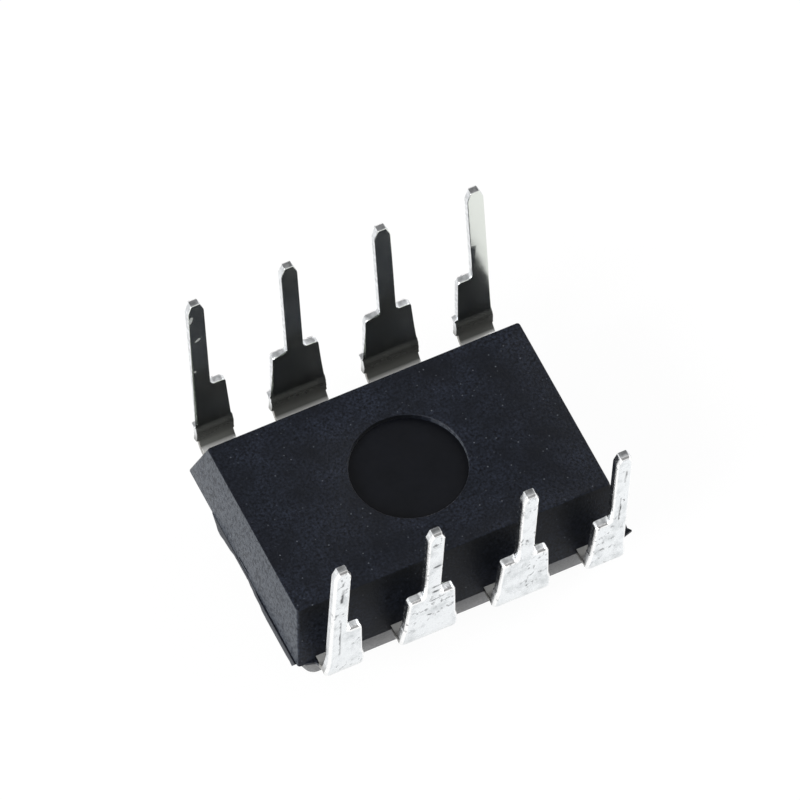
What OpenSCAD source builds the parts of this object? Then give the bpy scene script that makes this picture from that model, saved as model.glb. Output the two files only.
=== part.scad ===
// Eight-lead dual in-line integrated circuit, lying on its marked face with its leads up.
// The moulded body is cut away to the exact form of all that it holds, so every piece fits its seat.
// +X runs along the body, the leads stand in two rows at +Y and -Y, and Z is zero at the marked face.
// All sizes are in millimetres and all angles in degrees.

/* [Moulded body] */
// Length of the body at the parting line
body_len = 9.06; // [8.9:0.02:10.2]
// Width of the body at the parting line
body_w = 6.35; // [6.1:0.05:7.1]
// Height of the marked half, from its face to the parting plane
cap_h = 1.6; // [1.4:0.05:2.2]
// Height of the underside half, from the parting plane to its face
base_h = 1.63; // [1.2:0.01:2.2]
// Draft of the long walls
side_draft = 19.3; // [8:0.1:22]
// Draft of the underside half's end walls
end_draft = 9; // [3:0.5:14]
// Draft of the marked half's end walls
cap_end_draft = 18; // [3:0.5:20]
// Rounding of the underside half's corner edges
corner_r = 0.08; // [0.04:0.01:0.15]
// Rounding of the marked half's corner edges
cap_corner_r = 0.3; // [0.1:0.05:0.45]
// Diameter of the ejector mark in the underside
ejector_d = 3; // [1:0.1:3.5]
// Depth of the ejector mark
ejector_deep = 0.17; // [0.04:0.01:0.2]
// Radius of the half-round index notch in the marked half
notch_r = 0.75; // [0.5:0.05:1]
// Depth of the index notch below the marked face
notch_deep = 0.5; // [0.3:0.05:0.7]
// Diameter of the dimple beside the first lead
dimple_d = 1; // [0.6:0.1:1.2]
// Depth of the dimple
dimple_deep = 0.1; // [0.04:0.01:0.2]
// Thickness of the fin of flash that the mould left along one end
flash_t = 0.03; // [0.02:0.01:0.06]
// How far the flash stands out at its widest
flash_out = 0.12; // [0.05:0.01:0.2]
// Width, at the lead, of the web of resin left between the corner by lead 5 and that lead
web_out = 0.28; // [0.1:0.01:0.3]
// How far that web runs past the end of the body
web_past = 0.07; // [0.02:0.01:0.1]
// Width of the smaller web beside lead 8
small_web_out = 0.15; // [0.1:0.01:0.3]
// How far that web starts from the end of the body
small_web_in = 0.195; // [0.1:0.005:0.3]
// Thickness of the webs
web_t = 0.08; // [0.06:0.01:0.2]

/* [Leads] */
// Distance between neighbouring leads
pitch = 2.54; // [2.5:0.02:2.6]
// Thickness of the lead frame
frame_t = 0.25; // [0.2:0.01:0.3]
// Flat length of a lead between the parting line and its bend
lead_out = 0.117; // [0.08:0.001:0.4]
// Inside radius of the bend
bend_r = 0.35; // [0.2:0.05:0.5]
// Outward lean of the leads
splay = 5.5; // [0:0.1:10]
// Height of the shoulder above the parting plane
shoulder_h = 2.39; // [2.3:0.01:3]
// Length of the narrow foot beyond the shoulder
foot_len = 3.36; // [2.9:0.01:3.8]
// Width of the narrow foot
foot_w = 0.45; // [0.36:0.01:0.56]
// Width of a lead at the top of its shoulder
shoulder_w = 1.27; // [1.1:0.01:1.35]
// Width of a lead where it meets the dam bar
root_w = 1.44; // [1.4:0.01:1.56]
// Width over the sheared stubs of the dam bar
dam_w = 1.6; // [1.58:0.01:1.76]
// Height of the stubs' middle above the parting plane
dam_mid = 0.6; // [0.55:0.01:0.8]
// Height of the stubs
dam_h = 0.6; // [0.3:0.05:0.7]
// Rounding of the shoulder's corners and of the neck
shoulder_r = 0.12; // [0.05:0.01:0.2]
// Length of the chamfers on the two faces of a tip
tip_len = 0.04; // [0.02:0.01:0.1]
// Length over which a tip is cut narrower
tip_side_len = 0.3; // [0.2:0.05:0.8]
// Width of the tip's end
tip_w = 0.24; // [0.15:0.01:0.3]
// Thickness of the tip's end
tip_t = 0.2; // [0.1:0.01:0.22]

/* [Inside] */
// Length of the die paddle
paddle_len = 3.1; // [2.4:0.1:3.4]
// Width of the die paddle
paddle_w = 2.2; // [1.9:0.1:2.6]
// Width of the two tie bars
tie_w = 0.5; // [0.3:0.05:0.55]
// How far inside the end walls the tie bars were sheared off
tie_in = 0.05; // [0.02:0.01:0.1]
// Gap between the paddle and the fingers
finger_gap = 0.25; // [0.2:0.05:0.35]
// Width of a finger where the bond wire lands
finger_w = 0.6; // [0.4:0.05:0.7]
// Diameter of the hole that locks a lead in the moulding
lock_d = 0.4; // [0.2:0.05:0.5]
// Length of the silicon die
die_len = 1.6; // [1.2:0.05:1.9]
// Width of the silicon die
die_w = 1.4; // [1.1:0.05:1.6]
// Thickness of the silicon die
die_t = 0.28; // [0.2:0.01:0.35]
// Thickness of the attach layer
attach_t = 0.03; // [0.02:0.01:0.05]
// How far the attach layer stands out round the die
attach_rim = 0.06; // [0.02:0.01:0.1]
// Diameter of the bond wires
wire_d = 0.03; // [0.02:0.005:0.04]
// Straight rise of a bond wire above its ball
wire_rise = 0.12; // [0.08:0.01:0.2]
// Radius of the bend at the top of a bond wire
wire_bend = 0.07; // [0.04:0.01:0.1]
// Diameter of the ball and of the stitch at a wire's ends
bond_d = 0.09; // [0.06:0.01:0.12]

/* [Hidden] */

$fn = 48;
past = 0.5; // how far a cutter runs past what it cuts
row_count = 4; // leads in each row

// The walls lean in from the parting line by these amounts at the two faces.
side_in_cap = cap_h * tan(side_draft);
side_in_base = base_h * tan(side_draft);
end_in_cap = cap_h * tan(cap_end_draft);
end_in_base = base_h * tan(end_draft);
body_h = cap_h + base_h;

// The flash is two ragged fins at one end, one on each side of the tie bar. Each pair is a place along Y,
// as a share of half the body's width, and how far the fin stands out there, as a share of its widest.
flash_edges = [
    [[0.56, 0.1], [0.49, 0.4], [0.445, 0.6], [0.4, 0.85], [0.35, 0.92], [0.3, 0.75], [0.19, 0.6],
        [0.14, 0.38], [0.09, 0.38]],
    [[-0.09, 0.42], [-0.115, 0.35], [-0.163, 0.5], [-0.21, 0.54], [-0.26, 0.7], [-0.36, 0.75],
        [-0.41, 0.93], [-0.5, 1], [-0.86, 1], [-0.913, 0.94], [-0.965, 1]]];

// A lead's side view: the bend's centre is above the frame, the limb leans out from it.
bend_out = bend_r + frame_t;
bend_mid = bend_r + frame_t / 2;
bend_y = body_w / 2 + lead_out;
bend_z = cap_h + bend_mid;

// Heights along the leaning limb, counted from the bend's centre, for a height above the parting plane.
function along(h) = (h - bend_mid + bend_mid * sin(splay)) / cos(splay);
shoulder_at = along(shoulder_h);
tip_at = along(shoulder_h + foot_len);

// Places of the leads along X, and where the inner ends lie.
end_x = pitch * (row_count - 1) / 2;
inner_x = pitch / 2;
finger_end_y = paddle_w / 2 + finger_gap;
finger_end_x = paddle_len / 2 + finger_gap;
finger_low_y = tie_w / 2 + finger_gap;
lock_y = body_w / 2 - side_in_base / 2 - lock_d;
stub_proud = (dam_w - root_w) / 2;

// Heights seen from the die's side, where zero is the parting plane and up is towards the marked face.
frame_top = frame_t / 2;
die_low = frame_top + attach_t;
die_top = die_low + die_t;
drop = die_top - frame_top;
ball_t = 0.02; // thickness of a ball
stitch_t = 0.012; // thickness of a stitch
knee_d = wire_d * 1.15; // the wire is a little thicker where it was worked into its bend
knee_lap = 0.01; // how far the straight runs reach into the bend
pad_in = 0.12; // distance of the bond pads from the die's edge

// Body

// Both halves at once, from the two views of their drafted walls.
module drafted_block() {
    intersection() {
        rotate([90, 0, 90])
            linear_extrude(body_len + 2 * past, center = true)
                drafted_view(body_w, side_in_cap, side_in_base);
        rotate([90, 0, 0])
            linear_extrude(body_w + 2 * past, center = true)
                drafted_view(body_len, end_in_cap, end_in_base);
    }
}

module drafted_view(w, in_cap, in_base) {
    polygon([[-w / 2 + in_cap, 0], [w / 2 - in_cap, 0], [w / 2, cap_h], [w / 2 - in_base, body_h],
        [in_base - w / 2, body_h], [-w / 2, cap_h]]);
}

// Rounds one sloping corner edge with a cylinder that lies along the edge and touches both walls.
// The walls have the outward normals side_n and end_n, and their edge runs along the cross product.
module corner_cutter(h, end_angle, r) {
    side_n = [0, cos(side_draft), sin(side_draft)];
    end_n = [cos(end_angle), 0, sin(end_angle)];
    edge_raw = cross(end_n, side_n);
    edge_dir = edge_raw / norm(edge_raw);
    across = cross(edge_dir, side_n);
    c = end_n * side_n;
    s = end_n * across;
    centre = [-r, -r * s / (1 + c)];
    multmatrix([[side_n[0], across[0], edge_dir[0], 0], [side_n[1], across[1], edge_dir[1], 0],
        [side_n[2], across[2], edge_dir[2], 0], [0, 0, 0, 1]])
        translate([0, 0, -past / 2])
            linear_extrude(h / edge_dir[2] + past)
                difference() {
                    polygon([centre, [past, centre[1]], [past, s * past],
                        [centre[0] + (r + past) * c, centre[1] + (r + past) * s]]);
                    translate(centre)
                        circle(r);
                }
}

module corner_cutters() {
    for (mx = [0, 1], my = [0, 1])
        mirror([mx, 0, 0])
            mirror([0, my, 0])
                translate([body_len / 2, body_w / 2, cap_h]) {
                    above_parting()
                        corner_cutter(base_h, end_draft, corner_r);
                    mirror([0, 0, 1])
                        above_parting()
                            corner_cutter(cap_h, cap_end_draft, cap_corner_r);
                }
}

// Keeps the part of a cutter that lies in its own half of the body.
module above_parting() {
    intersection() {
        children();
        translate([-past * 2, -past * 2, 0])
            cube([past * 4, past * 4, body_h + past]);
    }
}

module flash_fin(edge) {
    root_x = 2 * cap_corner_r - body_len / 2;
    rim = [for (p = edge) [-body_len / 2 - p[1] * flash_out, p[0] * body_w / 2]];
    translate([0, 0, cap_h - flash_t / 2])
        linear_extrude(flash_t)
            polygon(concat([[root_x, rim[0][1]]], rim, [[root_x, rim[len(rim) - 1][1]]]));
}

// Resin that ran along the parting plane to the outer edge of an end lead, from the place that is given.
// It is no wider than the room that it fills.
module web(start, widest) {
    lead_side = end_x + foot_w / 2;
    out = min(widest, start - lead_side);
    wall = body_w / 2;
    translate([0, 0, cap_h - web_t / 2])
        linear_extrude(web_t)
            polygon([[lead_side, past - wall], [body_len / 2 - cap_corner_r, past - wall], [start, -wall],
                [lead_side + out / 3, -wall - out / 2], [lead_side, -wall - out]]);
}

module mould_body() {
    color([0.13, 0.14, 0.16])
        difference() {
            union() {
                difference() {
                    drafted_block();
                    corner_cutters();
                }
                for (edge = flash_edges)
                    flash_fin(edge);
                web(body_len / 2 + web_past, web_out);
                mirror([1, 0, 0])
                    web(body_len / 2 - small_web_in, small_web_out);
            }
            translate([0, 0, body_h - ejector_deep])
                cylinder(d = ejector_d, h = past);
            translate([end_in_cap - body_len / 2, 0, notch_deep - past - notch_r])
                cylinder(r = notch_r, h = past + notch_r);
            translate([dimple_d - end_x, body_w / 2 - side_in_cap - dimple_d, dimple_deep - past])
                cylinder(d = dimple_d, h = past);
            for (i = [1:2 * row_count])
                at_lead(i)
                    lead_flat(is_end(i));
            paddle_form(past);
            attach_form();
            die_form();
            for (i = [1:2 * row_count])
                wire_form(i);
        }
}

// Leads

// Leads 1 to 4 run along the far row and 5 to 8 come back along the near row.
// Every lead is drawn in the far row on the left, and mirrored to its place.
function column(i) = i <= row_count ? i - 1 : 2 * row_count - i;
function is_end(i) = column(i) == 0 || column(i) == row_count - 1;
function lead_x(end) = end ? -end_x : -inner_x;

module at_lead(i) {
    mirror([column(i) < row_count / 2 ? 0 : 1, 0, 0])
        mirror([0, i <= row_count ? 0 : 1, 0])
            children();
}

// A lead's left edge is straight on an end lead, and steps out on the others.
function left_half(end, w) = end ? foot_w / 2 : w / 2;

// The flat part, seen from above: the finger in the moulding and the root that leaves it.
module lead_flat(end) {
    x = lead_x(end);
    translate([0, 0, cap_h - frame_t / 2])
        linear_extrude(frame_t)
            difference() {
                union() {
                    translate([x - left_half(end, root_w), lock_y - lock_d])
                        square([left_half(end, root_w) + root_w / 2, bend_y - lock_y + lock_d]);
                    if (end)
                        end_finger(x);
                    else
                        inner_finger(x);
                }
                translate([x + (end ? root_w / 6 : 0), lock_y])
                    circle(d = lock_d);
            }
}

// An inner lead's finger runs straight to the long side of the paddle.
module inner_finger(x) {
    wide = root_w / 2;
    slim = finger_w / 2;
    polygon([[x - wide, lock_y - lock_d], [x - slim, finger_end_y + finger_w], [x - slim, finger_end_y],
        [x + slim, finger_end_y], [x + slim, finger_end_y + finger_w], [x + wide, lock_y - lock_d]]);
}

// An end lead's finger turns in towards the end of the paddle.
module end_finger(x) {
    low = lock_y - lock_d;
    polygon([[x - foot_w / 2, low], [-finger_end_x - finger_w, finger_low_y], [-finger_end_x, finger_low_y],
        [-finger_end_x, finger_low_y + finger_w], [x + root_w / 2, low]]);
}

// The bend and the limb seen from the end of the body, each from the bend's centre.
module bend_view() {
    translate([bend_y, bend_z])
        difference() {
            intersection() {
                circle(bend_out);
                polygon([[0, 0], [0, -bend_out * 2], [bend_out * 2, -bend_out * 2],
                    [bend_out * 2, -bend_out * 2 * tan(splay)]]);
            }
            circle(bend_r);
        }
}

module limb_view() {
    polygon([[bend_r, 0], [bend_out, 0], [bend_out, tip_at - tip_len], [bend_mid + tip_t / 2, tip_at],
        [bend_mid - tip_t / 2, tip_at], [bend_r, tip_at - tip_len]]);
}

// The limb seen from the front: wide shoulder, filleted neck, narrow foot and tapered tip.
module limb_front(end) {
    left = left_half(end, shoulder_w);
    low_left = left_half(end, root_w);
    wide_top = shoulder_at - shoulder_r;
    polygon([[-low_left, 0], [root_w / 2, 0], [shoulder_w / 2, wide_top], [-left, wide_top]]);
    translate([-foot_w / 2, 0])
        square([foot_w, tip_at - tip_side_len]);
    polygon([[-foot_w / 2, tip_at - tip_side_len], [foot_w / 2, tip_at - tip_side_len], [tip_w / 2, tip_at],
        [-tip_w / 2, tip_at]]);
    shoulder_side(wide_top);
    if (!end)
        mirror([1, 0])
            shoulder_side(wide_top);
}

// One side of the shoulder's top, with a rounded corner and a fillet into the foot.
module shoulder_side(wide_top) {
    square([shoulder_w / 2 - shoulder_r, shoulder_at]);
    translate([shoulder_w / 2 - shoulder_r, wide_top])
        circle(shoulder_r);
    translate([foot_w / 2, shoulder_at])
        difference() {
            square(shoulder_r);
            translate([shoulder_r, shoulder_r])
                circle(shoulder_r);
        }
}

// Everything of a lead that the side view shows, in a slab of the given reach to left and right.
module slab(left, right) {
    translate([-left, 0, 0])
        rotate([90, 0, 90])
            linear_extrude(left + right)
                children();
}

module limb_place() {
    translate([0, bend_y, bend_z])
        rotate([-splay, 0, 0])
            children();
}

// The stubs where the dam bar was sheared off, on both edges of the lead.
module dam_stubs(end) {
    left = left_half(end, root_w) + stub_proud;
    intersection() {
        union() {
            slab(left, dam_w / 2)
                bend_view();
            limb_place()
                slab(left, dam_w / 2)
                    limb_view();
        }
        translate([-dam_w, 0, cap_h + dam_mid - dam_h / 2])
            cube([2 * dam_w, body_w * 2, dam_h]);
    }
}

module lead(i) {
    end = is_end(i);
    left = left_half(end, root_w);
    color([0.8, 0.8, 0.78])
        at_lead(i) {
            lead_flat(end);
            translate([lead_x(end), 0, 0]) {
                slab(left, root_w / 2)
                    bend_view();
                limb_place()
                    intersection() {
                        slab(root_w, root_w)
                            limb_view();
                        rotate([90, 0, 0])
                            mirror([0, 0, 1])
                                linear_extrude(bend_out * 2)
                                    limb_front(end);
                    }
                dam_stubs(end);
            }
        }
}

module lead_1() { lead(1); }
module lead_2() { lead(2); }
module lead_3() { lead(3); }
module lead_4() { lead(4); }
module lead_5() { lead(5); }
module lead_6() { lead(6); }
module lead_7() { lead(7); }
module lead_8() { lead(8); }

// Inside

// The die hangs on the side of the frame that faces the marked face.
module die_side() {
    translate([0, 0, cap_h])
        mirror([0, 0, 1])
            children();
}

// The paddle, with tie bars that end this far beyond the end walls.
module paddle_form(beyond) {
    translate([0, 0, cap_h - frame_t / 2])
        linear_extrude(frame_t) {
            square([paddle_len, paddle_w], center = true);
            square([body_len + 2 * beyond, tie_w], center = true);
        }
}

module attach_form() {
    die_side()
        translate([-die_len / 2 - attach_rim, -die_w / 2 - attach_rim, frame_top])
            cube([die_len + 2 * attach_rim, die_w + 2 * attach_rim, attach_t]);
}

module die_form() {
    die_side()
        translate([-die_len / 2, -die_w / 2, die_low])
            cube([die_len, die_w, die_t]);
}

// A bond wire rises from its ball, bends over and runs straight down to the stitch on its finger.
function pad_at(end) = [-(end ? die_len / 2 - pad_in : die_len / 8), die_w / 2 - pad_in];
function landing_at(end) = end ? [-finger_end_x - finger_w / 3, finger_low_y + finger_w / 2]
    : [-inner_x, finger_end_y + finger_w / 3];

module wire_form(i) {
    end = is_end(i);
    pad = pad_at(end);
    span = landing_at(end) - pad;
    reach = norm(span);
    lift = wire_rise + drop;
    chord = norm([reach - wire_bend, lift]);
    slope = atan2(lift, reach - wire_bend) + asin(wire_bend / chord);
    run = sqrt(chord * chord - wire_bend * wire_bend);
    die_side()
        at_lead(i)
            translate([pad[0], pad[1], die_top])
                rotate([0, 0, atan2(span[1], span[0])]) {
                    cylinder(d = bond_d, h = ball_t);
                    cylinder(d = wire_d, h = wire_rise + knee_lap);
                    translate([wire_bend, 0, wire_rise])
                        rotate([90, 0, 0])
                            rotate([0, 0, 90 - slope])
                                rotate_extrude(angle = 90 + slope)
                                    translate([wire_bend, 0])
                                        circle(d = knee_d);
                    intersection() {
                        translate([wire_bend * (1 + sin(slope)), 0, wire_rise + wire_bend * cos(slope)])
                            rotate([0, 90 + slope, 0])
                                translate([0, 0, -knee_lap])
                                    cylinder(d = wire_d, h = knee_lap + run + bond_d);
                        translate([0, -bond_d, -drop])
                            cube([reach + bond_d, 2 * bond_d, lift + 2 * wire_bend]);
                    }
                    translate([reach, 0, -drop])
                        cylinder(d = bond_d, h = stitch_t);
                }
}

module die_paddle() {
    color([0.78, 0.5, 0.32])
        paddle_form(-tie_in);
}

module die_attach() {
    color([0.75, 0.76, 0.78])
        attach_form();
}

module silicon_die() {
    color([0.3, 0.34, 0.42])
        die_form();
}

module bond_wire(i) {
    color([0.88, 0.7, 0.3])
        wire_form(i);
}

module bond_wire_1() { bond_wire(1); }
module bond_wire_2() { bond_wire(2); }
module bond_wire_3() { bond_wire(3); }
module bond_wire_4() { bond_wire(4); }
module bond_wire_5() { bond_wire(5); }
module bond_wire_6() { bond_wire(6); }
module bond_wire_7() { bond_wire(7); }
module bond_wire_8() { bond_wire(8); }

mould_body();
lead_1();
lead_2();
lead_3();
lead_4();
lead_5();
lead_6();
lead_7();
lead_8();
die_paddle();
die_attach();
silicon_die();
bond_wire_1();
bond_wire_2();
bond_wire_3();
bond_wire_4();
bond_wire_5();
bond_wire_6();
bond_wire_7();
bond_wire_8();
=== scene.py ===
"""An eight-lead dual in-line chip, lying on its marked face with its leads up.

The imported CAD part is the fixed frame. The moulded body keeps the CAD's form and gets its small edge
roundings here. Each lead is stamped as a flat blank, its edges are rolled, and it is then formed round
its bend, as the real ones are. All lengths below are in millimetres unless a name ends in _m.
"""

import math
import random

import bmesh
import bpy
from mathutils import Matrix, Vector


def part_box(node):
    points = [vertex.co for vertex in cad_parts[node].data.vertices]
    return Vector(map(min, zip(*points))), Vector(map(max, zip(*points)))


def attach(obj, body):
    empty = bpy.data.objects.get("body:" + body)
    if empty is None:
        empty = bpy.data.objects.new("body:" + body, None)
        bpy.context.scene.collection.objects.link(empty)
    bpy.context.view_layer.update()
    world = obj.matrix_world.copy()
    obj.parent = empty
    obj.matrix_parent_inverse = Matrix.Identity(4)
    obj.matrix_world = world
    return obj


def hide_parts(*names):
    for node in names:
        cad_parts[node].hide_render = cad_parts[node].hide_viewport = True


MM = 0.001

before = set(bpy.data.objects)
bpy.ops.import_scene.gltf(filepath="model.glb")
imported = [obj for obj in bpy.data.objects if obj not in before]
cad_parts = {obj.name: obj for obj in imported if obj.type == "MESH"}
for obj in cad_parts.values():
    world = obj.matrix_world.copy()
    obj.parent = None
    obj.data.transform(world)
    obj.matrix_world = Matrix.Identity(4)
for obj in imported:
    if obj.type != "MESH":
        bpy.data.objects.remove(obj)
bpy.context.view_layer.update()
scene = bpy.context.scene


# Camera


def place_camera():
    """A long lens, 476 mm away, 25 degrees to the left and 58 degrees up."""
    azimuth, elevation, roll = math.radians(-25.1), math.radians(58.25), math.radians(-0.42)
    distance = 476.0
    px_per_mm = 40.5
    image_px = 800
    sensor = 36.0
    aim = Vector((0, 0, 3.23))  # the middle of the underside, and the pixel where it is seen
    aim_px = Vector((408.5, 466.1))
    back = Vector(
        (
            math.sin(azimuth) * math.cos(elevation),
            -math.cos(azimuth) * math.cos(elevation),
            math.sin(elevation),
        )
    )
    turn = (-back).to_track_quat("-Z", "Y").to_matrix() @ Matrix.Rotation(roll, 3, "Z")
    off = (aim_px - Vector((image_px / 2, image_px / 2))) / px_per_mm
    spot = aim + back * distance - turn @ Vector((off.x, -off.y, 0))
    data = bpy.data.cameras.new("camera")
    data.sensor_width = sensor
    data.lens = px_per_mm * distance * sensor / image_px
    data.clip_start, data.clip_end = 0.01, 10
    camera = bpy.data.objects.new("camera", data)
    scene.collection.objects.link(camera)
    camera.matrix_world = Matrix.Translation(spot * MM) @ turn.to_4x4()
    scene.camera = camera


place_camera()


# Materials

# Places on the body that its material changes at.
END_X = 4.53
MARK_R = 1.5
UNDERSIDE_Z = 3.23


def linear(hex_colour):
    """An sRGB hex colour as the linear values that the shaders take."""
    channels = [int(hex_colour[i : i + 2], 16) / 255 for i in (1, 3, 5)]
    return [c / 12.92 if c <= 0.04045 else ((c + 0.055) / 1.055) ** 2.4 for c in channels] + [1.0]


def add(tree, kind, inputs=(), **settings):
    """Adds a node with its settings, then sets or links its inputs. A list fills the inputs in use in their
    order, and a dictionary goes by name. A node given as an input links its first output in use."""
    made = tree.nodes.new("ShaderNode" + kind)
    for name, value in settings.items():
        setattr(made, name, value)
    in_use = [socket for socket in made.inputs if socket.enabled]
    pairs = inputs.items() if isinstance(inputs, dict) else enumerate(inputs)
    for place, value in pairs:
        socket = in_use[place] if isinstance(place, int) else made.inputs[place]
        if isinstance(value, bpy.types.Node):
            value = next(output for output in value.outputs if output.enabled)
        if isinstance(value, bpy.types.NodeSocket):
            tree.links.new(value, socket)
        else:
            socket.default_value = value
    return made


def per_metre(size_mm):
    """The scale of a pattern whose features are this size."""
    return 1 / (size_mm * MM)


def start_material(name):
    material = bpy.data.materials.new(name)
    material.use_nodes = True
    material.node_tree.nodes.clear()
    return material, material.node_tree


def moulded_epoxy_compound():
    """Silica-filled epoxy, transfer moulded in a spark-eroded steel tool: a blue-black, finely mottled,
    dull surface with a few pale grains of filler, that brightens only in a very flat view. The ejector
    pin's smooth end leaves a darker, more even disc in the underside. The side walls get painted shade,
    the end walls a painted pale sheen, and the thin resin that ran out between the mould halves a
    painted pale reflection."""
    material, tree = start_material("moulded_epoxy_compound")
    place = add(tree, "TexCoord").outputs["Object"]
    spot = add(tree, "SeparateXYZ", [place]).outputs
    facing = add(tree, "SeparateXYZ", [add(tree, "NewGeometry").outputs["True Normal"]]).outputs
    noise = {"Vector": place, "Detail": 3.0}
    grain = add(tree, "TexNoise", noise | {"Scale": per_metre(0.07), "Roughness": 0.65})
    cloud = add(tree, "TexNoise", noise | {"Scale": per_metre(0.9), "Roughness": 0.55})
    # The filler grains: the middle of a few cells of a pattern 0.11 mm wide, each with its own brightness.
    cells = add(tree, "TexVoronoi", {"Vector": place, "Scale": per_metre(0.11)})
    chosen = add(tree, "SeparateColor", [cells.outputs["Color"]])
    near = add(tree, "MapRange", [cells.outputs["Distance"], 0.08, 0.24, 1.0, 0.0])
    picked = add(tree, "MapRange", [chosen, 0.82, 1.0])
    filler = add(tree, "Math", [near, picked], operation="MULTIPLY")
    # The pin's disc, on the underside only.
    flat = add(tree, "CombineXYZ", [spot["X"], spot["Y"]])
    reach = add(tree, "VectorMath", [flat], operation="LENGTH")
    inside = add(tree, "MapRange", [reach, (MARK_R - 0.015) * MM, MARK_R * MM, 1.0, 0.0])
    above = add(tree, "MapRange", [spot["Z"], (UNDERSIDE_Z - 0.33) * MM, (UNDERSIDE_Z - 0.23) * MM])
    disc = add(tree, "Math", [inside, above], operation="MULTIPLY")
    # The flash: whatever stands more than a hair outside the end of the body, painted pale as a painted
    # reflection. Towards the near corner a painted dark crease of shade parts it from the wall.
    painted_crease_shade = add(tree, "MapRange", [spot["Y"], -1.0 * MM, -0.7 * MM, 0.035 * MM, 0.0])
    reach_out = add(tree, "Math", [spot["X"], painted_crease_shade], operation="ADD")
    painted_flash_reflection = add(tree, "MapRange", [reach_out, -(END_X + 0.02) * MM, -END_X * MM, 1.0, 0.0])
    light = add(tree, "MapRange", [grain, 0.34, 0.66])
    tone = add(tree, "Mix", [light, linear("#030408"), linear("#242935")], data_type="RGBA")
    clouded = add(tree, "MapRange", [cloud, 0.35, 0.7])
    shade = add(tree, "Mix", [clouded, tone, linear("#0e1118")], data_type="RGBA")
    speckled = add(tree, "Mix", [filler, shade, linear("#565a61")], data_type="RGBA")
    even = add(tree, "MapRange", [cloud, 0.35, 0.65])
    smooth = add(tree, "Mix", [even, linear("#06080d"), linear("#0a0c12")], data_type="RGBA")
    colour = add(tree, "Mix", [disc, speckled, smooth], data_type="RGBA")
    # Painted shade: the side walls are darker than the underside, most of all along its edge.
    sidewise = add(tree, "Math", [facing["Y"]], operation="ABSOLUTE")
    side = add(tree, "MapRange", [sidewise, 0.7, 0.9])
    low_z, high_z = (UNDERSIDE_Z - 1.03) * MM, (UNDERSIDE_Z - 0.03) * MM
    upper = add(tree, "MapRange", [spot["Z"], low_z, high_z, 0.2, 0.75])
    painted_side_shade = add(tree, "Math", [side, upper], operation="MULTIPLY")
    colour = add(tree, "Mix", [painted_side_shade, colour, linear("#040506")], data_type="RGBA")
    # Painted sheen: both end walls are painted paler, as a flat view of them shines, but for the pits of
    # the mould's texture.
    endwise = add(tree, "Math", [facing["X"]], operation="ABSOLUTE")
    end = add(tree, "MapRange", [endwise, 0.7, 0.9])
    texture = add(tree, "TexNoise", noise | {"Scale": per_metre(0.1), "Roughness": 0.6})
    raised = add(tree, "MapRange", [texture, 0.38, 0.54, 0.25, 1.0])
    painted_end_sheen = add(tree, "Math", [end, raised], operation="MULTIPLY")
    colour = add(tree, "Mix", [painted_end_sheen, colour, linear("#43474d")], data_type="RGBA")
    # The flash's pale colour is a painted reflection.
    colour = add(tree, "Mix", [painted_flash_reflection, colour, linear("#67696d")], data_type="RGBA")
    rough = add(tree, "MapRange", [grain, 0.3, 0.7, 0.34, 0.5])
    grained = add(tree, "Bump", {"Height": grain, "Strength": 0.9, "Distance": 0.014 * MM})
    plain = add(tree, "NewGeometry").outputs["Normal"]
    normal = add(tree, "Mix", [disc, grained, plain], data_type="VECTOR")
    shader = add(
        tree,
        "BsdfPrincipled",
        {
            "Base Color": colour,
            "Roughness": rough,
            "IOR": 1.28,
            "Sheen Weight": 0.12,
            "Sheen Roughness": 0.3,
            "Normal": normal,
        },
    )
    add(tree, "OutputMaterial", [shader])
    return material


def scored(tree, across, length, marks, wander):
    """The scores of the forming tool: lines on the blank, each from one place to another, that wander a
    little by the value given. Gives 1 in a score and 0 elsewhere."""
    across = add(tree, "Math", [across, wander], operation="ADD")
    deepest = None
    for (x0, s0), (x1, s1), width in marks:
        run = math.hypot(x1 - x0, s1 - s0)
        ux, us = (x1 - x0) / run, (s1 - s0) / run
        # The distance from the line, and how far past its middle towards either end.
        away = add(tree, "Math", [across, -us, us * x0 - ux * s0], operation="MULTIPLY_ADD")
        away = add(tree, "Math", [length, ux, away], operation="MULTIPLY_ADD")
        away = add(tree, "Math", [away], operation="ABSOLUTE")
        middle = -(ux * (x0 + x1) + us * (s0 + s1)) / 2
        past = add(tree, "Math", [across, ux, middle], operation="MULTIPLY_ADD")
        past = add(tree, "Math", [length, us, past], operation="MULTIPLY_ADD")
        past = add(tree, "Math", [past], operation="ABSOLUTE")
        on_line = add(tree, "MapRange", [away, width * 0.2, width * 0.9, 1.0, 0.0])
        in_run = add(tree, "MapRange", [past, run / 2 - 0.08, run / 2, 1.0, 0.0])
        score = add(tree, "Math", [on_line, in_run], operation="MULTIPLY")
        deepest = score if deepest is None else add(tree, "Math", [deepest, score], operation="MAXIMUM")
    return deepest


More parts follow.
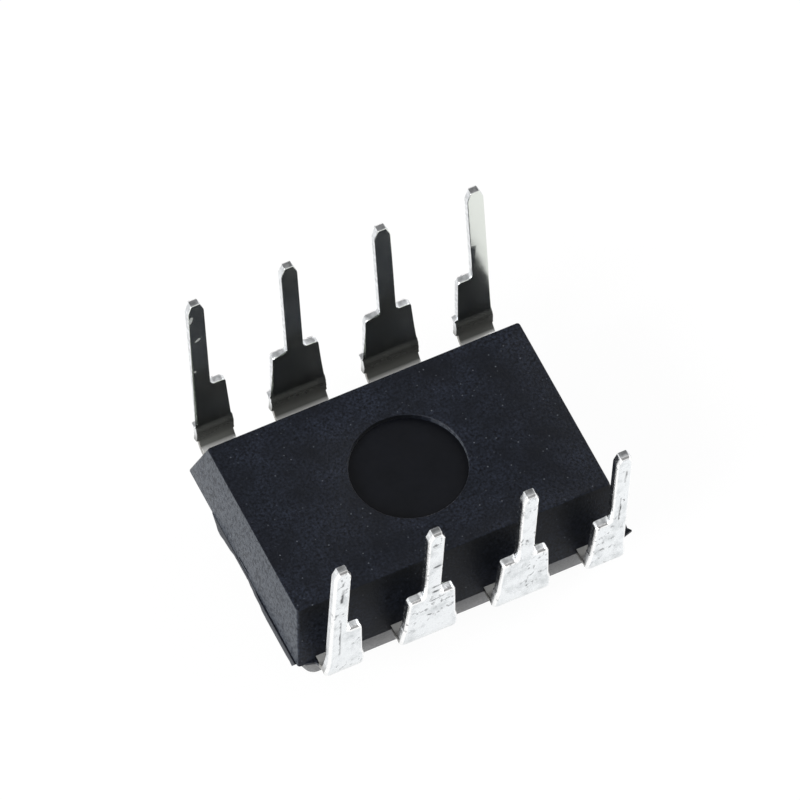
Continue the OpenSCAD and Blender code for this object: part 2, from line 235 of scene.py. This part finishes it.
def tin_plated_copper_alloy():
    """Rolled copper alloy, electroplated with tin. The faces that the forming tool pressed are near white,
    softly mottled and scored in places; the faces towards the body kept the strip's own smooth finish and
    mirror it. Close to the body a thin bleed of resin dulls both to a brownish grey."""
    material, tree = start_material("tin_plated_copper_alloy")
    blank = add(tree, "Attribute", attribute_name="blank").outputs["Vector"]
    across, length, depth = add(tree, "SeparateXYZ", [blank]).outputs
    # 1 on the pressed outer face, 0 on the inner one; a blank is 0.25 mm thick about zero.
    pressed = add(tree, "MapRange", [depth, -0.05, 0.05, 1.0, 0.0])
    unpressed = add(tree, "MapRange", [depth, -0.05, 0.05])
    # 1 on the flat of the pressed face, 0 on its rolled edges, which stay brighter.
    flat = add(tree, "MapRange", [depth, -0.1245, -0.118, 1.0, 0.0])
    # The tool slid along the lead, so its mottling and pits are drawn out that way.
    drawn = add(tree, "VectorMath", [blank, (1.0, 0.6, 1.0)], operation="MULTIPLY")
    patch = add(tree, "TexNoise", {"Vector": drawn, "Scale": 1 / 0.36, "Detail": 5.0, "Roughness": 0.66})
    pits = add(tree, "TexNoise", {"Vector": drawn, "Scale": 1 / 0.13, "Detail": 3.0, "Roughness": 0.55})
    fine = add(tree, "TexNoise", {"Vector": blank, "Scale": 1 / 0.06, "Detail": 3.0, "Roughness": 0.5})
    area = add(tree, "TexNoise", {"Vector": blank, "Scale": 1.0, "Detail": 1.0})
    # The pressing left dark pits in some areas only.
    pit = add(tree, "MapRange", [pits, 0.56, 0.7])
    pressed_hard = add(tree, "MapRange", [area, 0.45, 0.6])
    pitted = add(tree, "Math", [pit, pressed_hard], operation="MULTIPLY")
    # Dirt and tin fill a score again in places.
    wander = add(tree, "MapRange", [patch, 0.3, 0.7, -0.025, 0.025])
    score = scored(tree, across, length, SCORES, wander)
    left_open = add(tree, "MapRange", [patch, 0.4, 0.55, 0.4, 1.0])
    score = add(tree, "Math", [score, left_open], operation="MULTIPLY")
    thin = add(tree, "MapRange", [patch, 0.48, 0.72])
    clean = add(tree, "Mix", [thin, linear("#eef1f3"), linear("#c9cdcf")], data_type="RGBA")
    tinned = add(tree, "Mix", [flat, linear("#ffffff"), clean], data_type="RGBA")
    marked = add(tree, "Mix", [pitted, tinned, linear("#8a8c8e")], data_type="RGBA")
    marked = add(tree, "Mix", [score, marked, linear("#5c5e60")], data_type="RGBA")
    strip = add(tree, "Mix", [score, linear("#eaeee8"), linear("#a3a6a4")], data_type="RGBA")
    plated = add(tree, "Mix", [pressed, strip, marked], data_type="RGBA")
    # The resin crept farther up the inner face than the outer one. It is thin and pale on the flat by the
    # body, and thick and dark in the bend.
    outer_bleed = add(tree, "MapRange", [length, 0.3, 0.8, 1.0, 0.0])
    inner_bleed = add(tree, "MapRange", [length, 0.9, 1.6, 1.0, 0.0])
    in_bend = add(tree, "MapRange", [length, 0.2, 0.34])
    resin = add(tree, "Mix", [in_bend, linear("#d0d0ce"), linear("#525350")], data_type="RGBA")
    inner = add(tree, "Mix", [inner_bleed, plated, resin], data_type="RGBA")
    outer = add(tree, "Mix", [outer_bleed, plated, linear("#e2e4e4")], data_type="RGBA")
    colour = add(tree, "Mix", [pressed, inner, outer], data_type="RGBA")
    # Under thick resin, and in a score of the inner face, little of the metal shows.
    thick = add(tree, "MapRange", [length, 0.45, 1.2, 1.0, 0.0])
    cover = add(tree, "MapRange", [in_bend, 0.0, 1.0, 0.15, 0.92])
    veil = add(tree, "Math", [thick, score], operation="MAXIMUM")
    veil = add(tree, "Math", [veil, unpressed], operation="MULTIPLY")
    veil = add(tree, "Math", [veil, cover], operation="MULTIPLY")
    metallic = add(tree, "MapRange", [veil, 0.0, 1.0, 0.985, 0.0])
    # The foot of the inner face is less smooth than its base.
    polish = add(tree, "MapRange", [patch, 0.35, 0.7, 0.13, 0.21])
    worn = add(tree, "MapRange", [length, 2.6, 3.6, 0.0, 0.05])
    inner_rough = add(tree, "Math", [polish, worn], operation="ADD")
    outer_rough = add(tree, "MapRange", [patch, 0.35, 0.7, 0.18, 0.34])
    rough = add(tree, "Mix", [pressed, inner_rough, outer_rough], data_type="FLOAT")
    # Resin and scores both scatter the light.
    bleed = add(tree, "Mix", [pressed, thick, outer_bleed], data_type="FLOAT")
    scatter = add(tree, "Math", [bleed, score], operation="MAXIMUM")
    scatter = add(tree, "MapRange", [scatter, 0.0, 1.0, 0.0, 0.2])
    rough = add(tree, "Math", [rough, scatter], operation="ADD")
    height = add(tree, "Math", [fine, score], operation="SUBTRACT")
    height = add(tree, "Math", [height, pressed], operation="MULTIPLY")
    bump = add(tree, "Bump", {"Height": height, "Strength": 0.4, "Distance": 0.004 * MM})
    shader = add(
        tree,
        "BsdfPrincipled",
        {"Base Color": colour, "Metallic": metallic, "Roughness": rough, "Normal": bump},
    )
    add(tree, "OutputMaterial", [shader])
    return material


def sheared_tin_plated_edge():
    """The strip's cut edge under the same plating. The sides are smooth and mirror the dark body; the
    tops of the shoulders, where the punch broke through, are uneven; resin darkens it by the body."""
    material, tree = start_material("sheared_tin_plated_edge")
    blank = add(tree, "Attribute", attribute_name="blank").outputs["Vector"]
    length = add(tree, "SeparateXYZ", [blank]).outputs["Y"]
    torn = add(tree, "TexNoise", {"Vector": blank, "Scale": 1 / 0.14, "Detail": 2.0, "Roughness": 0.5})
    bright = add(tree, "MapRange", [torn, 0.35, 0.65])
    clean = add(tree, "Mix", [bright, linear("#c9cbcd"), linear("#eceef0")], data_type="RGBA")
    bleed = add(tree, "MapRange", [length, 0.4, 1.0, 1.0, 0.0])
    colour = add(tree, "Mix", [bleed, clean, linear("#6b675f")], data_type="RGBA")
    facing = add(tree, "NewGeometry").outputs["True Normal"]
    upward = add(tree, "MapRange", [add(tree, "SeparateXYZ", [facing]).outputs["Z"], 0.6, 0.9])
    below_tip = add(tree, "MapRange", [length, 3.5, 4.0, 1.0, 0.0])
    broken = add(tree, "Math", [upward, below_tip], operation="MULTIPLY")
    rough = add(tree, "MapRange", [torn, 0.3, 0.7, 0.12, 0.26])
    rough = add(tree, "Math", [broken, 0.28, rough], operation="MULTIPLY_ADD")
    depth = add(tree, "MapRange", [broken, 0.0, 1.0, 0.3, 1.6])
    uneven = add(tree, "Math", [torn, depth], operation="MULTIPLY")
    bump = add(tree, "Bump", {"Height": uneven, "Strength": 0.7, "Distance": 0.01 * MM})
    shader = add(
        tree,
        "BsdfPrincipled",
        {"Base Color": colour, "Metallic": 1.0, "Roughness": rough, "Normal": bump},
    )
    add(tree, "OutputMaterial", [shader])
    return material


def grained_metal(name, light, dark, rough_low, rough_high, grain_mm, tarnish_mm=None):
    """A bare metal whose tone and polish vary with a fine grain. Farther along X than the last number
    it has been in the air and is dark with tarnish."""
    material, tree = start_material(name)
    place = add(tree, "TexCoord").outputs["Object"]
    grain = add(tree, "TexNoise", {"Vector": place, "Scale": per_metre(grain_mm), "Detail": 4.0})
    tone = add(tree, "MapRange", [grain, 0.35, 0.65])
    colour = add(tree, "Mix", [tone, linear(dark), linear(light)], data_type="RGBA")
    if tarnish_mm:
        along = add(tree, "SeparateXYZ", [place]).outputs["X"]
        out = add(tree, "Math", [along], operation="ABSOLUTE")
        aired = add(tree, "MapRange", [out, (tarnish_mm - 0.05) * MM, tarnish_mm * MM])
        colour = add(tree, "Mix", [aired, colour, linear("#2c2622")], data_type="RGBA")
    rough = add(tree, "MapRange", [grain, 0.3, 0.7, rough_low, rough_high])
    bump = add(tree, "Bump", {"Height": grain, "Strength": 0.2, "Distance": 0.003 * MM})
    shader = add(
        tree,
        "BsdfPrincipled",
        {"Base Color": colour, "Metallic": 1.0, "Roughness": rough, "Normal": bump},
    )
    add(tree, "OutputMaterial", [shader])
    return material


def silver_filled_epoxy():
    """Epoxy paste full of silver flakes, dispensed and cured: a pale grey, half metallic layer."""
    material, tree = start_material("silver_filled_epoxy")
    place = add(tree, "TexCoord").outputs["Object"]
    flakes = add(tree, "TexVoronoi", {"Vector": place, "Scale": per_metre(0.02)})
    tint = add(tree, "SeparateColor", [flakes.outputs["Color"]])
    colour = add(tree, "Mix", [tint, linear("#a3a5a8"), linear("#d6d7d9")], data_type="RGBA")
    rough = add(tree, "MapRange", [tint, 0.0, 1.0, 0.4, 0.6])
    shader = add(tree, "BsdfPrincipled", {"Base Color": colour, "Metallic": 0.6, "Roughness": rough})
    add(tree, "OutputMaterial", [shader])
    return material


def polished_silicon():
    """A sawn and polished silicon die: dark blue-grey and glassy, with the fine blocks of its circuit
    as slightly lighter rectangles."""
    material, tree = start_material("polished_silicon")
    place = add(tree, "TexCoord").outputs["Object"]
    blocks = add(
        tree,
        "TexBrick",
        {
            "Vector": place,
            "Scale": per_metre(0.3),
            "Color1": linear("#3b4658"),
            "Color2": linear("#56617a"),
            "Mortar": linear("#2b313d"),
            "Mortar Size": 0.03,
        },
    )
    dust = add(tree, "TexNoise", {"Vector": place, "Scale": per_metre(0.1), "Detail": 3.0})
    rough = add(tree, "MapRange", [dust, 0.3, 0.7, 0.08, 0.18])
    shader = add(
        tree,
        "BsdfPrincipled",
        {"Base Color": blocks, "Metallic": 0.35, "Roughness": rough, "IOR": 3.4},
    )
    add(tree, "OutputMaterial", [shader])
    return material


# Each lead's blank lies this far from the next one, so a place on it names its lead too.
BLANK_STEP = 7.0

# The scores and dents in view: two ends across and along the blank, and a width.
SCORES = [
    # Lead 8: a long crease down the middle.
    ((56.035, 1.5), (56.0, 3.4), 0.04),
    ((56.0, 4.4), (56.0, 5.2), 0.07),
    ((55.98, 5.3), (56.0, 5.6), 0.05),
    # Lead 7: marks across the foot and the neck, and dents in the shoulder.
    ((48.93, 4.3), (49.2, 4.33), 0.08),
    ((48.94, 3.2), (49.2, 3.22), 0.07),
    ((48.95, 2.93), (49.2, 2.94), 0.09),
    ((48.9, 2.46), (49.36, 2.56), 0.035),
    ((49.24, 1.82), (49.32, 1.83), 0.08),
    ((48.5, 2.1), (48.48, 2.2), 0.06),
    ((48.85, 1.78), (49.05, 1.73), 0.045),
    ((49.1, 1.72), (49.25, 1.67), 0.05),
    # Leads 6 and 5.
    ((41.55, 2.44), (41.68, 2.45), 0.04),
    ((42.02, 3.6), (42.05, 3.78), 0.05),
    ((35.033, 2.7), (35.01, 4.0), 0.035),
    ((34.95, 4.7), (34.93, 5.4), 0.04),
    # Lead 1, on its inner face.
    ((6.8, 5.35), (6.88, 5.63), 0.07),
    ((6.89, 4.57), (7.08, 4.67), 0.05),
    ((6.82, 3.35), (6.86, 3.45), 0.06),
]

compound = moulded_epoxy_compound()
tin_face = tin_plated_copper_alloy()
tin_edge = sheared_tin_plated_edge()
# Stamped copper alloy straight from the strip, warm and finely grained.
bare_alloy = grained_metal("bare_copper_alloy", "#d59a76", "#b97f5c", 0.3, 0.45, 0.08, 4.45)
# Drawn gold, smooth and deep yellow.
gold = grained_metal("drawn_gold", "#f0c867", "#dfae4a", 0.12, 0.22, 0.02)


# Moulded body

PARTING_Z = 1.6
TIE_W = 0.5
STRIP_T = 0.25


def merged_copy(node):
    """The CAD node's mesh in millimetres, with its vertices joined and its flat faces whole again."""
    bm = bmesh.new()
    bm.from_mesh(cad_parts[node].data)
    bmesh.ops.scale(bm, vec=(1 / MM,) * 3, verts=bm.verts)
    bmesh.ops.remove_doubles(bm, verts=bm.verts, dist=1e-4)
    bmesh.ops.dissolve_limit(bm, angle_limit=math.radians(0.4), verts=bm.verts, edges=bm.edges)
    return bm


def into_scene(bm, name, materials, sharp=30.0):
    """Makes a piece of the mesh, smooth but for its sharp edges, in metres, on the one body."""
    for face in bm.faces:
        face.smooth = True
    for edge in bm.edges:
        edge.smooth = edge.calc_face_angle(0) < math.radians(sharp)
    bmesh.ops.scale(bm, vec=(MM,) * 3, verts=bm.verts)
    mesh = bpy.data.meshes.new(name)
    bm.to_mesh(mesh)
    bm.free()
    for material in materials:
        mesh.materials.append(material)
    piece = bpy.data.objects.new(name, mesh)
    scene.collection.objects.link(piece)
    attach(piece, "root")
    return piece


def moulded_body():
    """The mould's edges are broken by a few hundredths of a millimetre at both faces and at the marks."""
    low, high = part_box("mould_body")
    top, bottom = high.z / MM, low.z / MM
    edge_r = 0.03
    near = 0.002
    bm = merged_copy("mould_body")
    chosen = []
    for edge in bm.edges:
        if edge.calc_face_angle(0) < math.radians(35):
            continue
        a, b = (v.co for v in edge.verts)
        at_top = abs(a.z - top) < near and abs(b.z - top) < near
        at_bottom = abs(a.z - bottom) < near and abs(b.z - bottom) < near
        if at_top or at_bottom:
            chosen.append(edge)
    bmesh.ops.bevel(
        bm, geom=chosen, offset=edge_r, segments=3, profile=0.5, affect="EDGES", clamp_overlap=False
    )
    # At the flash the resin also covers the cut end of the tie bar, flush with the wall, and the fin
    # runs on across it.
    depth = 0.045
    for out, across, thick in ((0.0, TIE_W + 0.01, STRIP_T + 0.01), (0.045, TIE_W + 0.08, 0.026)):
        where = Matrix.Translation(((depth - out) / 2 - END_X, 0, PARTING_Z))
        bmesh.ops.create_cube(bm, size=1.0, matrix=where @ Matrix.Diagonal((depth + out, across, thick, 1)))
    piece = into_scene(bm, "body_moulding", [compound])
    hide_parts("mould_body")


moulded_body()


# Leads

# The bend's radius is that of the strip's middle plane, and widths are half widths. The heights are above
# the parting plane. A lead's sides narrow over the last 0.3 mm, and its end leans over the last 0.04 mm.
PITCH = 2.54
BODY_W = 6.35
BEND_MID = 0.475
BEND_Y = BODY_W / 2 + 0.117
SPLAY = math.radians(5.5)
BEND_ARC = BEND_MID * (math.pi / 2 - SPLAY)
ROOT = 0.72
SHOULDER = 0.635
FOOT = 0.225
TIP = 0.12
TIP_SIDE = 0.3
TIP_FACE = 0.04
ROUND = 0.12
SHOULDER_H = 2.39
FOOT_LEN = 3.36
STUB_H = (0.3, 0.9)
# Inside the moulding: the lock hole's far edge, and where the fingers end.
LOCK_Y = 2.09
FINGER_W = 0.6
FINGER_X = 1.8
FINGER_Y = 1.35
END_FINGER_Y = 0.5


def height_to_length(height):
    """Where along the strip's middle plane it is this far above the parting plane, on the limb."""
    return BEND_ARC + (height - BEND_MID + BEND_MID * math.sin(SPLAY)) / math.cos(SPLAY)


def arc(centre, radius, start, end, steps):
    return [
        (
            centre[0] + radius * math.cos(math.radians(start + (end - start) * i / steps)),
            centre[1] + radius * math.sin(math.radians(start + (end - start) * i / steps)),
        )
        for i in range(steps + 1)
    ]


SHOULDER_S = height_to_length(SHOULDER_H)
TIP_S = height_to_length(SHOULDER_H + FOOT_LEN)
STUB_LOW_S = BEND_MID * math.acos(1 - STUB_H[0] / BEND_MID)
STUB_HIGH_S = height_to_length(STUB_H[1])
LOCK_S = LOCK_Y - BEND_Y

# How far a stub stands out from the lead's side, from its lower end to its upper end. On the left of
# each lead the dam bar tore off, and left a burr at both ends in the far row and at one in the near row.
TORN_FAR = (0.07, 0.045, 0.04, 0.04, 0.045, 0.05, 0.08)
TORN_NEAR = (0.08, 0.075, 0.06, 0.04, 0.03, 0.015, 0.005)
CLEAN = (0.03, 0.035, 0.04, 0.035, 0.03, 0.02, 0.005)


def stub(width, proud, rng):
    """The ragged edge of a dam-bar stub, as half widths and lengths."""
    steps = len(proud) - 1
    return [
        (width + p + rng.uniform(-0.006, 0.006), STUB_LOW_S + (STUB_HIGH_S - STUB_LOW_S) * i / steps)
        for i, p in enumerate(proud)
    ]


def top_of_tip(half_width):
    """The end of a side: the cut that narrows it, with a softened corner, and the end."""
    return [
        (half_width, TIP_S - TIP_SIDE - 0.03),
        (half_width - 0.012, TIP_S - TIP_SIDE + 0.04),
        (TIP + 0.008, TIP_S - 0.03),
        (TIP - 0.01, TIP_S),
    ]


def side_outline(proud, rng):
    """The stepped side of a blank, from the lock hole to the tip, as half widths and lengths."""
    at_stub = ROOT + (SHOULDER - ROOT) * (STUB_HIGH_S - BEND_ARC) / (SHOULDER_S - BEND_ARC)
    return (
        [(ROOT, LOCK_S), (ROOT, STUB_LOW_S - 0.03)]
        + stub(ROOT, proud, rng)
        + [(at_stub, STUB_HIGH_S + 0.04)]
        + arc((SHOULDER - ROUND, SHOULDER_S - ROUND), ROUND, 0, 90, 6)
        + arc((FOOT + ROUND, SHOULDER_S + ROUND), ROUND, 270, 180, 6)
        + top_of_tip(FOOT)
    )


def plain_outline(proud, rng):
    """The straight side of an end lead, with its stub."""
    return (
        [(FOOT, LOCK_S), (FOOT, STUB_LOW_S - 0.03)]
        + stub(FOOT, proud, rng)
        + [(FOOT, STUB_HIGH_S + 0.04)]
        + top_of_tip(FOOT)
    )


def inset(outline, amount):
    """The outline drawn in by an amount all round, corner by corner."""
    made = []
    count = len(outline)
    for i in range(count):
        before, here, after = (Vector(outline[(i + k) % count]) for k in (-1, 0, 1))
        first = (here - before).normalized()
        second = (after - here).normalized()
        n1, n2 = Vector((-first.y, first.x)), Vector((-second.y, second.x))
        made.append(here + (n1 + n2) * (amount / max(0.3, 1 + n1.dot(n2))))
    return made


def stamp(outline):
    """A flat blank with its edges rolled by the punch on the outer face, where n is lowest, and nearly
    sharp on the inner one. The outline runs anticlockwise; n is 0 at the strip's middle."""
    half = STRIP_T / 2
    # How far a ring is drawn in, its height, and whether the band above it is sheared.
    levels = [
        (0.075, -half, 0),
        (0.045, -half + 0.006, 0),
        (0.02, -half + 0.026, 0),
        (0.005, -half + 0.06, 0),
        (0.0, -half + 0.085, 1),
        (0.0, half - 0.022, 1),
        (0.007, half - 0.007, 0),
        (0.022, half, 0),
    ]
    bm = bmesh.new()
    rings = []
    for draw_in, n, _ in levels:
        rings.append([bm.verts.new((p[0], p[1], n)) for p in inset(outline, draw_in)])
    count = len(outline)
    for k in range(len(rings) - 1):
        for i in range(count):
            j = (i + 1) % count
            face = bm.faces.new((rings[k][i], rings[k][j], rings[k + 1][j], rings[k + 1][i]))
            face.material_index = levels[k][2]
    caps = [bm.faces.new(list(reversed(rings[0]))), bm.faces.new(rings[-1])]
    bmesh.ops.triangulate(bm, faces=caps)
    return bm


def form(point):
    """Takes a point of the flat blank to where it is once the strip is bent."""
    x, s, n = point
    if s <= 0:
        return Vector((x, BEND_Y + s, PARTING_Z + n))
    turn = min(s, BEND_ARC) / BEND_MID
    rest = max(0.0, s - BEND_ARC)
    reach = BEND_MID - n
    return Vector(
        (
            x,
            BEND_Y + reach * math.sin(turn) + rest * math.cos(turn),
            PARTING_Z + BEND_MID - reach * math.cos(turn) + rest * math.sin(turn),
        )
    )


# Lead 4 is twisted a little round its shoulder, so the light breaks over it at a slant: by what slope, how
# far above the bend, and over what length to either side.
TWISTS = {4: (0.012, 1.2, 2.3)}


def cut_tip(bm):
    """The cut that parted the lead from its strip leans to both sides from a low ridge across it."""
    ridge = -0.01
    drop = 0.13
    for v in bm.verts:
        if v.co.y > TIP_S - TIP_FACE:
            share = (v.co.y - TIP_S + TIP_FACE) / TIP_FACE
            v.co.y -= abs(v.co.z - ridge) * drop * share


def lead(number, end, mirror_x, mirror_y):
    rng = random.Random(40 + number)
    # The blank's right side becomes the world's left one in a mirrored lead.
    torn = TORN_NEAR if mirror_y else TORN_FAR
    sides = (torn, CLEAN) if mirror_x else (CLEAN, torn)
    right = side_outline(sides[0], rng)
    left = plain_outline(sides[1], rng) if end else side_outline(sides[1], rng)
    x = -1.5 * PITCH if end else -0.5 * PITCH
    tip_s = (END_FINGER_Y if end else FINGER_Y) - BEND_Y
    root_s = tip_s + FINGER_W
    outline = right + [(-w, s) for w, s in reversed(left)]
    if end:
        outline += [(-FINGER_X - FINGER_W - x, tip_s), (-FINGER_X - x, tip_s), (-FINGER_X - x, root_s)]
    else:
        half = FINGER_W / 2
        outline += [(-half, root_s), (-half, tip_s), (half, tip_s), (half, root_s)]
    bm = stamp(outline)
    cuts = [0, BEND_ARC, TIP_S - TIP_FACE] + [BEND_ARC * i / 10 for i in range(1, 10)]
    if number in TWISTS:
        # Rows close enough for the twist to run smoothly up the limb.
        cuts += [BEND_ARC + 0.25 * i for i in range(1, 20)]
    for cut in cuts:
        geometry = list(bm.verts) + list(bm.edges) + list(bm.faces)
        bmesh.ops.bisect_plane(bm, geom=geometry, dist=1e-5, plane_co=(0, cut, 0), plane_no=(0, 1, 0))
    cut_tip(bm)
    twist, middle, reach = TWISTS.get(number, (0.0, 0.0, 1.0))
    for v in bm.verts:
        v.co.z -= twist * v.co.x * max(0.0, 1.0 - abs(v.co.y - BEND_ARC - middle) / reach)
    layer = bm.verts.layers.float_vector.new("blank")
    for v in bm.verts:
        v[layer] = v.co + Vector((number * BLANK_STEP, 0, 0))
        v.co = form(v.co) + Vector((x, 0, 0))
    bmesh.ops.scale(bm, vec=(-1 if mirror_x else 1, -1 if mirror_y else 1, 1), verts=bm.verts)
    if mirror_x != mirror_y:
        bmesh.ops.reverse_faces(bm, faces=bm.faces)
    piece = into_scene(bm, f"formed_lead_{number}", [tin_face, tin_edge], 25.0)
    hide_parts(f"lead_{number}")


for number in range(1, 9):
    column = number - 1 if number <= 4 else 8 - number
    lead(number, column in (0, 3), column >= 2, number > 4)


# What the moulding hides


def finish_node(node, material):
    """Gives a CAD node that stays its real finish."""
    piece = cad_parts[node]
    if not piece.material_slots:
        piece.data.materials.append(material)
    for place in piece.material_slots:
        place.link = "OBJECT"
        place.material = material


finish_node("die_paddle", bare_alloy)
finish_node("die_attach", silver_filled_epoxy())
finish_node("silicon_die", polished_silicon())
for number in range(1, 9):
    finish_node(f"bond_wire_{number}", gold)


# Stage and light


def lay_floor():
    """A large white table. The camera and the leads see it white; it still takes the chip's shadow."""
    bm = bmesh.new()
    bmesh.ops.create_grid(bm, x_segments=1, y_segments=1, size=3.0)
    mesh = bpy.data.meshes.new("table_top")
    bm.to_mesh(mesh)
    bm.free()
    floor = bpy.data.objects.new("table_top", mesh)
    scene.collection.objects.link(floor)
    floor.location.z = -0.005 * MM
    material, tree = start_material("white_table")
    path = add(tree, "LightPath").outputs
    seen = add(tree, "Math", [path["Is Camera Ray"], path["Is Transmission Ray"]], operation="MAXIMUM")
    seen = add(tree, "Math", [seen, 0.92], operation="MULTIPLY")
    mirrored = add(tree, "Math", [path["Is Glossy Ray"], 0.8], operation="MULTIPLY")
    share = add(tree, "Math", [seen, mirrored], operation="MAXIMUM")
    lit = add(tree, "BsdfDiffuse", {"Color": linear("#f4f4f4")})
    glow = add(tree, "Emission", {"Color": linear("#ffffff"), "Strength": 1.02})
    mixed = add(tree, "MixShader", [share, lit, glow])
    add(tree, "OutputMaterial", [mixed])
    mesh.materials.append(material)


def light_world():
    """A white sweep all round the table, a dimmer ceiling, and a soft lamp straight above."""
    world = bpy.data.worlds.new("studio")
    scene.world = world
    world.use_nodes = True
    tree = world.node_tree
    tree.nodes.clear()
    direction = add(tree, "TexCoord").outputs["Generated"]
    height = add(tree, "SeparateXYZ", [direction]).outputs["Z"]
    ceiling = add(tree, "MapRange", [height, 0.15, 0.6, 1.0, 0.24])
    overhead = add(tree, "MapRange", [height, 0.92, 0.98, 0.0, 0.4])
    strength = add(tree, "Math", [ceiling, overhead], operation="ADD")
    sky = add(tree, "Background", {"Color": linear("#ffffff"), "Strength": strength})
    add(tree, "OutputWorld", [sky])


def softbox(name, towards, distance_m, size_m, power):
    data = bpy.data.lights.new(name, "AREA")
    data.shape = "SQUARE"
    data.size = size_m
    data.energy = power
    lamp = bpy.data.objects.new(name, data)
    scene.collection.objects.link(lamp)
    direction = Vector(towards).normalized()
    lamp.matrix_world = (
        Matrix.Translation(direction * distance_m) @ direction.to_track_quat("Z", "Y").to_matrix().to_4x4()
    )


lay_floor()
light_world()
softbox("key", (-0.9, -0.3, 0.5), 0.4, 0.2, 1.9)
softbox("fill", (0.8, 0.1, 0.6), 0.4, 0.25, 0.8)

scene.view_settings.view_transform = "Standard"
